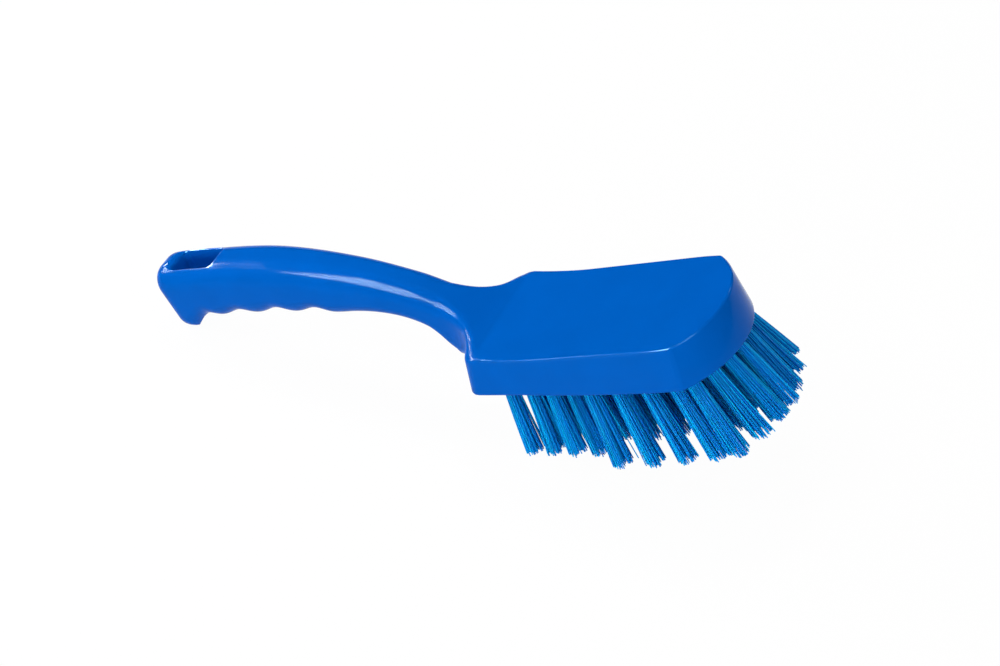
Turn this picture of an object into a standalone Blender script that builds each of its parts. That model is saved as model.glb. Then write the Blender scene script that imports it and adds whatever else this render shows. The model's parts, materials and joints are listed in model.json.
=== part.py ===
"""Hand scrubbing brush: a one-piece moulded head and handle, and separate tufts set in its holes.

The body is drawn in the head's own frame: X runs to the nose, Y across, Z up from the flat
top face, with X = 0 at the head's rear corners. An empty then tips the brush into the pose in
which it stands by itself, on its rear tufts and on the lobe under the handle's end.
"""

import math

import bmesh
import bpy
from mathutils import Matrix, Vector

# Head
HEAD_SIDE_LENGTH = 0.0982
HEAD_HALF_WIDTH = 0.0360
HEAD_SIDE_TAPER = 0.0013
NOSE_BULGE = 0.0168
BLOCK_THICKNESS = 0.0212
SIDE_FLARE = 0.0025
NOSE_FLARE = 0.0033
EAR_REACH = 0.0052
EAR_REACH_DEPTH = 0.0036
EAR_REACH_LENGTH = 0.013
EAR_FLARE = 0.0026
EAR_FLARE_LENGTH = 0.020
REAR_TOP_RISE = 0.0029
REAR_TOP_RISE_LENGTH = 0.033
UNDERSIDE_ARCH = 0.0056
EDGE_RADIUS = 0.0013
EAR_SOFTENING = 0.0065
NOSE_CORNER_EASE = 0.0009
NOSE_CORNER_LENGTH = 0.012
BOW_LENGTH = 0.060

# Handle
HANDLE_LENGTH = 0.1780
HANDLE_RISE = 0.0532
GRIP_HALF_WIDTH = 0.0140
NECK_HALF_WIDTH = 0.0113
NECK_SWEEP = 0.034
TOP_ROUNDING_START = 0.003
TOP_ROUNDING_LENGTH = 0.029
BOTTOM_ROUNDING_START = 0.005
BOTTOM_ROUNDING_LENGTH = 0.018
END_ROUNDING = 0.0084
END_SLANT = 0.0098
END_SLANT_LENGTH = 0.030

# Finger grooves under the grip
GROOVE_COUNT = 3
GROOVE_PITCH = 0.0219
GROOVE_DEPTH = 0.0023
FIRST_BUMP_FROM_HEAD = 0.0808

# Hang slot
SLOT_LENGTH = 0.0255
SLOT_WIDTH = 0.0154
SLOT_CORNER_RADIUS = 0.0035
SLOT_FROM_END = 0.0118

# Tufts and their holes
TUFT_RADIUS = 0.0031
HOLE_CLEARANCE = 0.0003
HOLE_DEPTH = 0.0105
HOLE_WALL = 0.0017
ROOT_RECESS = 0.0011
TRIM_LENGTH = 0.0392
TUFT_SPLAY = 0.0042
STRAND_GAP = 0.00025
SIDE_LEAN = math.radians(12.5)
NOSE_LEAN = math.radians(22.5)

# Rows of tufts
EDGE_ROW_START = 0.0475
EDGE_ROW_PITCH = 0.0142
EDGE_ROW_INSET = 0.0075
REAR_ROW_START = 0.0055
REAR_ROW_PITCH = 0.0102
REAR_ROW_INSET = 0.0115
INNER_ROW_START = 0.0060
INNER_ROW_PITCH = 0.0108
INNER_ROW_SPACING = 0.0090
MIDDLE_ROW_OFFSET = 0.0055
NOSE_INSET = 0.0086
NOSE_PITCH = 0.0101
FRONT_PAIR_SPACING = 0.0098
FRONT_PAIR_OFFSET = 0.0145

# Making
CUT_OVERRUN = 0.004
MIRROR_WELD = 0.00001
STEEPEST_PITCH = math.radians(60.0)
CREASE_ANGLE = math.radians(50.0)

# Shape of the lines, as shares of the sizes above and powers of them
NECK_SWEEP_POWER_SHARE = 3.1
TOP_ROUNDING_POWER_SHARE = 1.2
EAR_FLARE_POWER_SHARE = 4.0
SIDE_LEAN_POWER_SHARE = 2.5
STATION_POWER_SHARE = 1.6
HEAD_ROUND_SHARE = 0.037
GRIP_TOP_ROUND_SHARE = 0.78
GRIP_BOTTOM_ROUND_SHARE = 0.70
END_LOWER_SHARE = 0.38
INNER_STRAND_SHARE = 0.62
STRAND_TIP_SHARE = 0.85

# Half-width of the handle: share of the handle's length from the head, share of the grip
GRIP_WIDTH_SHARES = (
    (0.19, 0.807),
    (0.25, 0.815),
    (0.34, 0.865),
    (0.50, 0.960),
    (0.66, 1.000),
    (0.92, 1.000),
    (1.00, 0.960),
)

# Top line: share of the handle's length from the head, share of the handle's rise
TOP_LINE_SHARES = (
    (0.00, 0.0545),
    (0.035, 0.117),
    (0.067, 0.190),
    (0.135, 0.345),
    (0.223, 0.518),
    (0.391, 0.743),
    (0.615, 0.932),
    (0.84, 0.991),
    (1.00, 1.000),
)

# Bottom line without its grooves, in the same shares
BOTTOM_LINE_SHARES = (
    (0.130, -0.215),
    (0.148, -0.150),
    (0.168, -0.045),
    (0.192, 0.054),
    (0.234, 0.150),
    (0.279, 0.220),
    (0.335, 0.276),
    (0.391, 0.308),
    (0.451, 0.323),
    (0.565, 0.378),
    (0.696, 0.414),
    (0.818, 0.429),
    (0.868, 0.462),
    (0.903, 0.427),
    (0.936, 0.368),
    (0.966, 0.320),
    (1.00, 0.320),
)

# Forward lean of the tufts: share of the head's length from its rear, share of the nose's lean
LEAN_SHARES = (
    (0.03, 0.12),
    (0.20, 0.22),
    (0.42, 0.45),
    (0.66, 0.78),
    (0.80, 0.88),
    (1.00, 1.00),
)

# Length of the strands: share of the head's length from its rear, share of the trim
TRIM_SHARES = (
    (0.05, 0.960),
    (0.33, 0.970),
    (0.43, 1.035),
    (0.70, 1.020),
    (1.00, 1.000),
)

# Counts
CORNER_STEPS = 3
FLAT_STEPS = 6
CAP_STEPS = 4
GRIP_STATIONS = 34
NECK_STATIONS = 14
HEAD_STATIONS = 8
TUFT_SIDES = 8
SLOT_CORNER_STEPS = 4
POSE_STEPS = 40

# Sides of the brush, and their sign along Y
SIDES = (("left", 1), ("right", -1))


def new_collection(name):
    """Adds a collection to the scene."""
    collection = bpy.data.collections.new(name)
    bpy.context.scene.collection.children.link(collection)
    return collection


def new_material(name, colour, roughness):
    """A plain plastic: base colour, roughness and no metal."""
    material = bpy.data.materials.new(name)
    material.use_nodes = True
    shader = material.node_tree.nodes["Principled BSDF"]
    shader.inputs["Base Color"].default_value = (*colour, 1.0)
    shader.inputs["Roughness"].default_value = roughness
    shader.inputs["Metallic"].default_value = 0.0
    material.diffuse_color = (*colour, 1.0)
    return material


def mesh_object(name, bm, collection, material):
    """Turns a bmesh into a named object, smooth where its faces bend gently."""
    bmesh.ops.recalc_face_normals(bm, faces=bm.faces)
    mesh = bpy.data.meshes.new(name)
    bm.to_mesh(mesh)
    bm.free()
    mesh.shade_smooth()
    mesh.set_sharp_from_angle(angle=CREASE_ANGLE)
    obj = bpy.data.objects.new(name, mesh)
    if material:
        mesh.materials.append(material)
    collection.objects.link(obj)
    return obj


def smooth_line(points, place):
    """Height at a place on a smooth curve through (place, height) points in rising order."""
    if place <= points[0][0]:
        return points[0][1]
    if place >= points[-1][0]:
        return points[-1][1]
    index = max(i for i in range(len(points) - 1) if points[i][0] <= place)
    x0, y0 = points[index]
    x1, y1 = points[index + 1]
    span = x1 - x0

    def slope(i):
        before = points[max(i - 1, 0)]
        after = points[min(i + 1, len(points) - 1)]
        return (after[1] - before[1]) / (after[0] - before[0])

    t = (place - x0) / span
    start = (2 * t**3 - 3 * t**2 + 1) * y0 + (t**3 - 2 * t**2 + t) * span * slope(index)
    end = (3 * t**2 - 2 * t**3) * y1 + (t**3 - t**2) * span * slope(index + 1)
    return start + end


def smooth_step(share):
    """Rises from 0 to 1 without a kink."""
    t = min(max(share, 0.0), 1.0)
    return t * t * (3 - 2 * t)


def soft_minimum(a, b, blend):
    """The lower of two lines, with their corner rounded."""
    overlap = max(blend - abs(a - b), 0.0) / blend
    return min(a, b) - overlap * overlap * blend / 4


def handle_half_width(x):
    """Half-width of the handle at a place behind the head."""
    return GRIP_HALF_WIDTH * smooth_line(GRIP_WIDTH_SHARES, -x / HANDLE_LENGTH)


def plan_half_width(x):
    """Half-width of the outline at the top: the head's side, its rear corner, the neck and the grip."""
    side = HEAD_HALF_WIDTH - HEAD_SIDE_TAPER * (1 - x / HEAD_SIDE_LENGTH)
    corner = max(1 - (HEAD_SIDE_LENGTH - x) / NOSE_CORNER_LENGTH, 0.0)
    if x > NECK_SWEEP:
        return side - NOSE_CORNER_EASE * corner**2
    reach = max(1 + x / NECK_SWEEP, 0.0)
    rear_half_width = HEAD_HALF_WIDTH - HEAD_SIDE_TAPER
    sweep = (rear_half_width - NECK_HALF_WIDTH) * reach**NECK_SWEEP_POWER_SHARE
    return soft_minimum(side, handle_half_width(x) + sweep, EAR_SOFTENING)


def top_height(x):
    """Height of the top line: flat on the head, rising to its rear and along the handle."""
    if x >= 0:
        return REAR_TOP_RISE * max(1 - x / REAR_TOP_RISE_LENGTH, 0.0) ** 2
    return HANDLE_RISE * smooth_line(TOP_LINE_SHARES, -x / HANDLE_LENGTH)


def underside_height(x):
    """Height of the head's underside, which arches up towards the handle."""
    reach = max(1 - x / HEAD_SIDE_LENGTH, 0.0)
    return -BLOCK_THICKNESS + UNDERSIDE_ARCH * reach**2


def groove_rise(x):
    """How far a finger groove cuts into the underside of the grip."""
    turns = (-x - FIRST_BUMP_FROM_HEAD) / GROOVE_PITCH
    if turns <= 0 or turns >= GROOVE_COUNT:
        return 0.0
    return GROOVE_DEPTH * math.sin(math.pi * turns) ** 2


def bottom_height(x):
    """Height of the bottom line: the head's underside, the neck's hollow, the grip and the lobe."""
    share = -x / HANDLE_LENGTH
    if share <= BOTTOM_LINE_SHARES[0][0]:
        return underside_height(x)
    return HANDLE_RISE * smooth_line(BOTTOM_LINE_SHARES, share) + groove_rise(x)


def corner_shares(x):
    """How round the top and bottom edges are, as shares of the half-width."""
    reach = min(max((TOP_ROUNDING_START - x) / TOP_ROUNDING_LENGTH, 0.0), 1.0)
    top = reach**TOP_ROUNDING_POWER_SHARE
    bottom = smooth_step((-x - BOTTOM_ROUNDING_START) / BOTTOM_ROUNDING_LENGTH)
    top_share = HEAD_ROUND_SHARE + (GRIP_TOP_ROUND_SHARE - HEAD_ROUND_SHARE) * top
    bottom_share = HEAD_ROUND_SHARE + (GRIP_BOTTOM_ROUND_SHARE - HEAD_ROUND_SHARE) * bottom
    return top_share, bottom_share


def nose_radius():
    """Radius of the arc that the nose makes in plan."""
    return (HEAD_HALF_WIDTH**2 + NOSE_BULGE**2) / (2 * NOSE_BULGE)


def nose_reach(y):
    """How far the nose's arc stands in front of the line between its corners."""
    radius = nose_radius()
    drop = radius - math.sqrt(max(radius**2 - y**2, 0.0))
    return NOSE_BULGE - drop


def head_part(x):
    """1 on the head and 0 on the handle."""
    return smooth_step(1 + x / NECK_SWEEP)


def half_section(x, inset):
    """Half of a cross-section, from the top middle to the bottom middle, as (y, z) points.

    An inset draws it in on all sides, and on the handle less from below, where the lobe is.
    """
    width = plan_half_width(x)
    flare = SIDE_FLARE * head_part(x)
    top_share, bottom_share = corner_shares(x)
    least = EDGE_RADIUS / 4
    top_radius = max(max(width * top_share, EDGE_RADIUS) - inset, least)
    bottom_radius = max(max(width * bottom_share, EDGE_RADIUS) - inset, least)
    top = top_height(x) - inset
    bottom = bottom_height(x) + inset * (END_LOWER_SHARE if x < 0 else 1.0)
    top_flat = width - inset - top_radius
    bottom_flat = width + flare - inset - bottom_radius
    points = []
    for step in range(FLAT_STEPS):
        points.append((top_flat * step / FLAT_STEPS, top))
    for step in range(CORNER_STEPS + 1):
        angle = math.pi / 2 * step / CORNER_STEPS
        y = top_flat + top_radius * math.sin(angle)
        points.append((y, top - top_radius * (1 - math.cos(angle))))
    for step in range(CORNER_STEPS + 1):
        angle = math.pi / 2 * step / CORNER_STEPS
        y = bottom_flat + bottom_radius * math.cos(angle)
        points.append((y, bottom + bottom_radius * (1 - math.sin(angle))))
    for step in range(FLAT_STEPS):
        points.append((bottom_flat * (1 - (step + 1) / FLAT_STEPS), bottom))
    return points


def ear_reach(x, y, fall):
    """How far the rear wall's ears stand behind its top edge: a rounded shoulder, then a slight flare."""
    shoulder = min(max(1 - fall / EAR_REACH_DEPTH, 0.0), 1.0)
    reach = EAR_REACH * math.sqrt(1 - shoulder**2) + EAR_FLARE * fall / BLOCK_THICKNESS
    place = smooth_step(1 + x / EAR_REACH_LENGTH) * smooth_step(1 - x / EAR_FLARE_LENGTH)
    return reach * place * min(abs(y) / plan_half_width(x), 1.0) ** EAR_FLARE_POWER_SHARE


def along(x, y, z):
    """Where a section's point lies along X: bowed at the nose, flared at the walls, slanted at the end."""
    depth = (top_height(x) - z) / BLOCK_THICKNESS
    bow = smooth_step((x - HEAD_SIDE_LENGTH + BOW_LENGTH) / BOW_LENGTH)
    rear = ear_reach(x, y, top_height(x) - z)
    front = NOSE_FLARE * depth * bow
    tail = smooth_step((-x - HANDLE_LENGTH + END_SLANT_LENGTH) / END_SLANT_LENGTH)
    slant = END_SLANT * tail * (1 - z / HANDLE_RISE)
    return x + nose_reach(y) * bow + front - rear + slant


def stations():
    """Places of the sections, as (x, inset, shift): the end's rounding, grip, neck, head, nose edge."""
    places = []
    end = -HANDLE_LENGTH + END_ROUNDING
    for step in range(CAP_STEPS):
        angle = math.pi / 2 * (1 - (step + 0.5) / (CAP_STEPS + 0.5))
        shift = -END_ROUNDING * math.sin(angle)
        places.append((end, END_ROUNDING * (1 - math.cos(angle)), shift))
    for step in range(GRIP_STATIONS):
        places.append((end - (end + NECK_SWEEP) * step / GRIP_STATIONS, 0.0, 0.0))
    for step in range(NECK_STATIONS):
        places.append((-NECK_SWEEP * (1 - step / NECK_STATIONS), 0.0, 0.0))
    last = HEAD_SIDE_LENGTH - EDGE_RADIUS
    for step in range(HEAD_STATIONS):
        share = step / (HEAD_STATIONS - 1)
        places.append((last * share**STATION_POWER_SHARE, 0.0, 0.0))
    for step in range(1, CORNER_STEPS + 1):
        angle = math.pi / 2 * step / CORNER_STEPS
        places.append((last, EDGE_RADIUS * (1 - math.cos(angle)), EDGE_RADIUS * math.sin(angle)))
    return places


def body_half():
    """The half of the body on the +Y side, open at the middle plane."""
    bm = bmesh.new()
    rows = []
    for x, inset, shift in stations():
        row = []
        for y, z in half_section(x, inset):
            row.append(bm.verts.new((along(x, y, z) + shift, y, z)))
        rows.append(row)
    for near, far in zip(rows, rows[1:]):
        for i in range(len(near) - 1):
            bm.faces.new((near[i], near[i + 1], far[i + 1], far[i]))
    close_end(bm, rows[0])
    close_end(bm, rows[-1])
    return bm


def close_end(bm, row):
    """Closes an end by joining each point of the top to the one below it."""
    last = len(row) - 1
    for i in range(last // 2):
        bm.faces.new((row[i], row[i + 1], row[last - i - 1], row[last - i]))


def slot_cutter(collection):
    """A bar with round corners that cuts the hang slot from top to bottom."""
    bm = bmesh.new()
    middle = -HANDLE_LENGTH + SLOT_FROM_END + SLOT_LENGTH / 2
    corners = []
    centre_x = SLOT_LENGTH / 2 - SLOT_CORNER_RADIUS
    centre_y = SLOT_WIDTH / 2 - SLOT_CORNER_RADIUS
    for turn, (sx, sy) in enumerate(((1, 1), (-1, 1), (-1, -1), (1, -1))):
        for step in range(SLOT_CORNER_STEPS + 1):
            angle = math.pi / 2 * (turn + step / SLOT_CORNER_STEPS)
            x = middle + sx * centre_x + SLOT_CORNER_RADIUS * math.cos(angle)
            y = sy * centre_y + SLOT_CORNER_RADIUS * math.sin(angle)
            corners.append((x, y))
    floor = [bm.verts.new((x, y, -CUT_OVERRUN)) for x, y in corners]
    bar = bmesh.ops.extrude_face_region(bm, geom=[bm.faces.new(floor)])
    lid = [v for v in bar["geom"] if isinstance(v, bmesh.types.BMVert)]
    bmesh.ops.translate(bm, verts=lid, vec=(0, 0, HANDLE_RISE + 2 * CUT_OVERRUN))
    return mesh_object("cutter_hang_slot", bm, collection, None)


def arc_place(front, radius, angle):
    """A place on an arc in plan whose foremost point lies at front."""
    return front - radius * (1 - math.cos(angle)), radius * math.sin(angle)


def nose_places():
    """Name and place of each tuft in the row round the nose, and of the pair behind it."""
    nose = HEAD_SIDE_LENGTH + NOSE_BULGE + NOSE_FLARE
    arc_radius = nose_radius() + SIDE_FLARE
    row_radius = arc_radius - NOSE_INSET
    widest = math.asin((HEAD_HALF_WIDTH + SIDE_FLARE - NOSE_INSET) / row_radius)
    a_side = int(widest * row_radius / NOSE_PITCH)
    places = []
    for number in range(-a_side, a_side + 1):
        x, y = arc_place(nose - NOSE_INSET, row_radius, number * NOSE_PITCH / row_radius)
        places.append((f"tuft_nose_{number + a_side + 1}", x, y))
    pair_inset = NOSE_INSET + FRONT_PAIR_SPACING
    pair_radius = arc_radius - pair_inset
    for side, sign in SIDES:
        angle = sign * math.asin(FRONT_PAIR_OFFSET / pair_radius)
        x, y = arc_place(nose - pair_inset, pair_radius, angle)
        places.append((f"tuft_front_{side}", x, y))
    return places


def row_places(name, first, pitch, offset, ahead):
    """A row on each side, with as many tufts as fit behind the ones ahead of it."""
    spacing = 2 * (TUFT_RADIUS + HOLE_CLEARANCE) + HOLE_WALL
    end = HEAD_SIDE_LENGTH
    for _, x, y in ahead:
        beside = abs(abs(y) - offset)
        if beside < spacing:
            end = min(end, x - math.sqrt(spacing**2 - beside**2))
    places = []
    for number in range(math.floor((end - first) / pitch) + 1):
        for side, sign in SIDES:
            places.append((f"{name}_{side}_{number + 1}", first + pitch * number, sign * offset))
    return places


def tuft_places():
    """Name and place of each tuft on the head's underside, left and right rows alike."""
    nose = nose_places()
    edge_offset = HEAD_HALF_WIDTH - EDGE_ROW_INSET
    rear_offset = HEAD_HALF_WIDTH - REAR_ROW_INSET
    edge = row_places("tuft_edge", EDGE_ROW_START, EDGE_ROW_PITCH, edge_offset, nose)
    rear = row_places("tuft_rear", REAR_ROW_START, REAR_ROW_PITCH, rear_offset, edge[:2])
    places = nose + edge + rear
    room = rear_offset - MIDDLE_ROW_OFFSET
    rows = max(int(room / INNER_ROW_SPACING), 1)
    for row in range(rows):
        name = f"tuft_inner{row}" if row > 1 else ("tuft_middle", "tuft_inner")[row]
        first = INNER_ROW_START + INNER_ROW_PITCH / 2 * (row % 2)
        offset = MIDDLE_ROW_OFFSET + room / rows * row
        places += row_places(name, first, INNER_ROW_PITCH, offset, nose)
    return places


def tuft_matrix(x, y):
    """Frame of a tuft: at the mouth of its hole, with -Z along the leaning strands."""
    head_length = HEAD_SIDE_LENGTH + NOSE_BULGE
    forward = NOSE_LEAN * smooth_line(LEAN_SHARES, x / head_length)
    offset = HEAD_HALF_WIDTH - EDGE_ROW_INSET
    sideways = SIDE_LEAN * min(abs(y) / offset, 1.0) ** SIDE_LEAN_POWER_SHARE
    direction = Vector((math.tan(forward), math.copysign(math.tan(sideways), y), -1.0))
    turn = Vector((0, 0, -1)).rotation_difference(direction)
    return Matrix.Translation((x, y, underside_height(x))) @ turn.to_matrix().to_4x4()


def holes_cutter(places, collection):
    """One cutter that holds the blind hole of every tuft."""
    bm = bmesh.new()
    radius = TUFT_RADIUS + HOLE_CLEARANCE / math.cos(math.pi / TUFT_SIDES)
    length = HOLE_DEPTH + CUT_OVERRUN
    centre = Matrix.Translation((0, 0, HOLE_DEPTH - length / 2))
    for _, x, y in places:
        bmesh.ops.create_cone(
            bm,
            cap_ends=True,
            segments=TUFT_SIDES,
            radius1=radius,
            radius2=radius,
            depth=length,
            matrix=tuft_matrix(x, y) @ centre,
        )
    return mesh_object("cutter_tuft_holes", bm, collection, None)


def tuft(name, x, y, collection, material):
    """A tuft: its folded root, packed in the hole, and the strands that splay from it."""
    bm = bmesh.new()
    bmesh.ops.create_circle(bm, cap_ends=True, cap_tris=True, segments=TUFT_SIDES, radius=TUFT_RADIUS)
    bmesh.ops.translate(bm, verts=bm.verts, vec=(0, 0, ROOT_RECESS))
    fan = list(bm.faces)
    rim = [edge for edge in bm.edges if edge.is_boundary]
    root = bmesh.ops.extrude_edge_only(bm, edges=rim)
    top = [v for v in root["geom"] if isinstance(v, bmesh.types.BMVert)]
    root_length = HOLE_DEPTH - HOLE_CLEARANCE - ROOT_RECESS
    bmesh.ops.translate(bm, verts=top, vec=(0, 0, root_length))
    bmesh.ops.contextual_create(bm, geom=[e for e in bm.edges if e.is_boundary])
    bmesh.ops.inset_individual(bm, faces=fan, thickness=STRAND_GAP)
    length = TRIM_LENGTH * smooth_line(TRIM_SHARES, x / (HEAD_SIDE_LENGTH + NOSE_BULGE))
    frame = tuft_matrix(x, y)
    for face in bmesh.ops.extrude_discrete_faces(bm, faces=fan)["faces"]:
        place_strand(face, length, 1 if y < 0 else 0, frame)
    obj = mesh_object(name, bm, collection, material)
    obj.matrix_world = frame
    return obj


def place_strand(face, length, first, frame):
    """Draws one strand out to its tip, which is trimmed level with the head's underside."""
    middle = face.calc_center_median()
    angle = math.atan2(middle.y, middle.x)
    turn = round(angle / (2 * math.pi / TUFT_SIDES) - 0.5)
    reach = TUFT_SPLAY * (INNER_STRAND_SHARE if (turn + first) % 2 else 1.0)
    tip = Vector((reach * math.cos(angle), reach * math.sin(angle), -length))
    level = frame.to_3x3().transposed() @ Vector((0, 0, 1))
    for vert in face.verts:
        place = tip + (vert.co - middle) * STRAND_TIP_SHARE
        place.z -= (level.x * place.x + level.y * place.y) / level.z
        vert.co = place


def pitched(angle):
    """Turns the brush nose up."""
    return Matrix.Rotation(-angle, 4, "Y")


def resting_pitch(body_points, tuft_points):
    """Pitch at which the handle's lobe and the lowest strands reach down equally far."""
    lobe = [p for p in body_points if p.x < -HANDLE_LENGTH / 2]
    low, high = 0.0, STEEPEST_PITCH
    for _ in range(POSE_STEPS):
        angle = (low + high) / 2
        turn = pitched(angle)
        if min((turn @ p).z for p in lobe) > min((turn @ p).z for p in tuft_points):
            low = angle
        else:
            high = angle
    return (low + high) / 2


def resting_matrix(body, tufts):
    """Tips the brush to its resting pitch and sets it on the floor, centred on the origin."""
    half = [v.co for v in body.data.vertices]
    body_points = half + [Vector((p.x, -p.y, p.z)) for p in half]
    tuft_points = [t.matrix_world @ v.co for t in tufts for v in t.data.vertices]
    turn = pitched(resting_pitch(body_points, tuft_points))
    points = [turn @ p for p in body_points + tuft_points]
    low = [min(p[i] for p in points) for i in range(3)]
    high = [max(p[i] for p in points) for i in range(3)]
    centre = Vector(((low[0] + high[0]) / 2, (low[1] + high[1]) / 2, low[2]))
    return Matrix.Translation(-centre) @ turn


def cut(obj, cutter):
    """Cuts one object out of another."""
    modifier = obj.modifiers.new(cutter.name, "BOOLEAN")
    modifier.operation = "DIFFERENCE"
    modifier.solver = "EXACT"
    modifier.object = cutter
    cutter.hide_render = True
    cutter.display_type = "WIRE"


def brush_body(places, parts, cutters, material):
    """The one-piece head and handle, with its hang slot and the tufts' holes."""
    body = mesh_object("brush_body", body_half(), parts, material)
    mirror = body.modifiers.new("mirror", "MIRROR")
    mirror.use_axis = (False, True, False)
    mirror.merge_threshold = MIRROR_WELD
    cut(body, holes_cutter(places, cutters))
    cut(body, slot_cutter(cutters))
    return body


def main():
    for obj in list(bpy.data.objects):
        bpy.data.objects.remove(obj)
    parts = new_collection("hand_brush")
    cutters = new_collection("cutters")
    cutters.hide_render = True
    plastic = new_material("moulded_plastic", (0.002, 0.12, 0.56), 0.32)
    filament = new_material("filament", (0.003, 0.18, 0.56), 0.45)

    places = tuft_places()
    body = brush_body(places, parts, cutters, plastic)
    tufts = [tuft(name, x, y, parts, filament) for name, x, y in places]

    pose = bpy.data.objects.new("resting_pose", None)
    parts.objects.link(pose)
    bpy.context.view_layer.update()
    pose.matrix_world = resting_matrix(body, tufts)
    bpy.context.view_layer.update()
    for obj in [body] + tufts + list(cutters.objects):
        obj.parent = pose


main()
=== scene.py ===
import json
import math
import random

import bmesh
import bpy
from bpy.props import FloatProperty, IntProperty, PointerProperty, StringProperty
from mathutils import Matrix, Vector
from mathutils.bvhtree import BVHTree


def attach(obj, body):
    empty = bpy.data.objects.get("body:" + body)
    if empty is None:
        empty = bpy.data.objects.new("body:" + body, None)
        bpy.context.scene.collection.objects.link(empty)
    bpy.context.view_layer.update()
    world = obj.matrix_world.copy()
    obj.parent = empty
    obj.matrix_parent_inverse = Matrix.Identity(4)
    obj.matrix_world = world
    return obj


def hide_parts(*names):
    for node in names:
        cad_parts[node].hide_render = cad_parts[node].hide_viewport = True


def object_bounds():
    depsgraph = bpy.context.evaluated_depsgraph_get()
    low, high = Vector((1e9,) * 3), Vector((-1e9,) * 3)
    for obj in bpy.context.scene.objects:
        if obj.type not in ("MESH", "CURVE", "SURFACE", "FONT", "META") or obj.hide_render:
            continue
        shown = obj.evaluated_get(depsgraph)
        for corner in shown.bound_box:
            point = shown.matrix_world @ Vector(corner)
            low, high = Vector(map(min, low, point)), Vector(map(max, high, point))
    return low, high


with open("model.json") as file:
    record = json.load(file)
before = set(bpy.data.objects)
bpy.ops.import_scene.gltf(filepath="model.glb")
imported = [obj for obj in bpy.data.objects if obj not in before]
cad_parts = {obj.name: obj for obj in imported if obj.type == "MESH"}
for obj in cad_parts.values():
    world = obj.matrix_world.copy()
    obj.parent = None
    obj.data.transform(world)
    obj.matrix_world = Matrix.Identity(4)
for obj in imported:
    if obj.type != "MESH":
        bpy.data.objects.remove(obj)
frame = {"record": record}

bl_info = {
    "name": "Hand brush dressing",
    "version": (1, 0, 0),
    "blender": (4, 5, 0),
    "location": "3D View > Sidebar > Hand brush",
    "description": "Dresses the CAD frame of a hand scrubbing brush and sets its stage",
    "category": "Object",
}

CAD_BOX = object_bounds()
MM = 0.001

# Sizes of the moulded body, as in its CAD solid, in the head's own frame: X to the nose, Z up from
# the flat top, X = 0 at the head's rear corners
HEAD_SIDE_LENGTH = 98.2 * MM
HEAD_HALF_WIDTH = 36.0 * MM
HEAD_SIDE_TAPER = 1.3 * MM
NOSE_BULGE = 16.8 * MM
BLOCK_THICKNESS = 21.2 * MM
SIDE_FLARE = 2.5 * MM
NOSE_FLARE = 3.3 * MM
EAR_REACH = 5.2 * MM
EAR_REACH_DEPTH = 3.6 * MM
EAR_REACH_LENGTH = 13.0 * MM
EAR_FLARE = 2.6 * MM
EAR_FLARE_LENGTH = 20.0 * MM
REAR_TOP_RISE = 2.9 * MM
REAR_TOP_RISE_LENGTH = 33.0 * MM
UNDERSIDE_ARCH = 5.6 * MM
EDGE_RADIUS = 1.3 * MM
EAR_SOFTENING = 6.5 * MM
NOSE_CORNER_EASE = 0.9 * MM
NOSE_CORNER_LENGTH = 12.0 * MM
BOW_LENGTH = 60.0 * MM
HANDLE_LENGTH = 178.0 * MM
HANDLE_RISE = 53.2 * MM
GRIP_HALF_WIDTH = 14.0 * MM
NECK_HALF_WIDTH = 11.3 * MM
NECK_SWEEP = 34.0 * MM
TOP_ROUNDING_START = 3.0 * MM
TOP_ROUNDING_LENGTH = 29.0 * MM
BOTTOM_ROUNDING_START = 5.0 * MM
BOTTOM_ROUNDING_LENGTH = 18.0 * MM
END_ROUNDING = 8.4 * MM
END_SLANT = 9.8 * MM
END_SLANT_LENGTH = 30.0 * MM
GROOVE_COUNT = 3
GROOVE_PITCH = 21.9 * MM
GROOVE_DEPTH = 2.3 * MM
FIRST_BUMP_FROM_HEAD = 80.8 * MM
SLOT_LENGTH = 25.5 * MM
SLOT_WIDTH = 15.4 * MM
SLOT_CORNER_RADIUS = 3.5 * MM
SLOT_FROM_END = 11.8 * MM

# Sizes of the tufts and their holes, as in the CAD solids
TUFT_RADIUS = 3.1 * MM
HOLE_CLEARANCE = 0.3 * MM
HOLE_DEPTH = 10.5 * MM
HOLE_WALL = 1.7 * MM
TRIM_LENGTH = 39.2 * MM
TUFT_SPLAY = 4.2 * MM
SIDE_LEAN = math.radians(12.5)
NOSE_LEAN = math.radians(22.5)
EDGE_ROW_START = 47.5 * MM
EDGE_ROW_PITCH = 14.2 * MM
EDGE_ROW_INSET = 7.5 * MM
REAR_ROW_START = 5.5 * MM
REAR_ROW_PITCH = 10.2 * MM
REAR_ROW_INSET = 11.5 * MM
INNER_ROW_START = 6.0 * MM
INNER_ROW_PITCH = 10.8 * MM
INNER_ROW_SPACING = 9.0 * MM
MIDDLE_ROW_OFFSET = 5.5 * MM
NOSE_INSET = 8.6 * MM
NOSE_PITCH = 10.1 * MM
FRONT_PAIR_SPACING = 9.8 * MM
FRONT_PAIR_OFFSET = 14.5 * MM
HOLE_RADIUS = TUFT_RADIUS + HOLE_CLEARANCE
SLOT_MIDDLE = -HANDLE_LENGTH + SLOT_FROM_END + SLOT_LENGTH / 2

NECK_SWEEP_POWER = 3.1
TOP_ROUNDING_POWER = 1.2
EAR_FLARE_POWER = 4.0
SIDE_LEAN_POWER = 2.5
HEAD_ROUND_SHARE = 0.037
GRIP_TOP_ROUND_SHARE = 0.78
GRIP_BOTTOM_ROUND_SHARE = 0.70
END_LOWER_SHARE = 0.38
# Where the end and the nose edge close, their roundings keep at least this radius
LEAST_RADIUS = EDGE_RADIUS / 12

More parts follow.
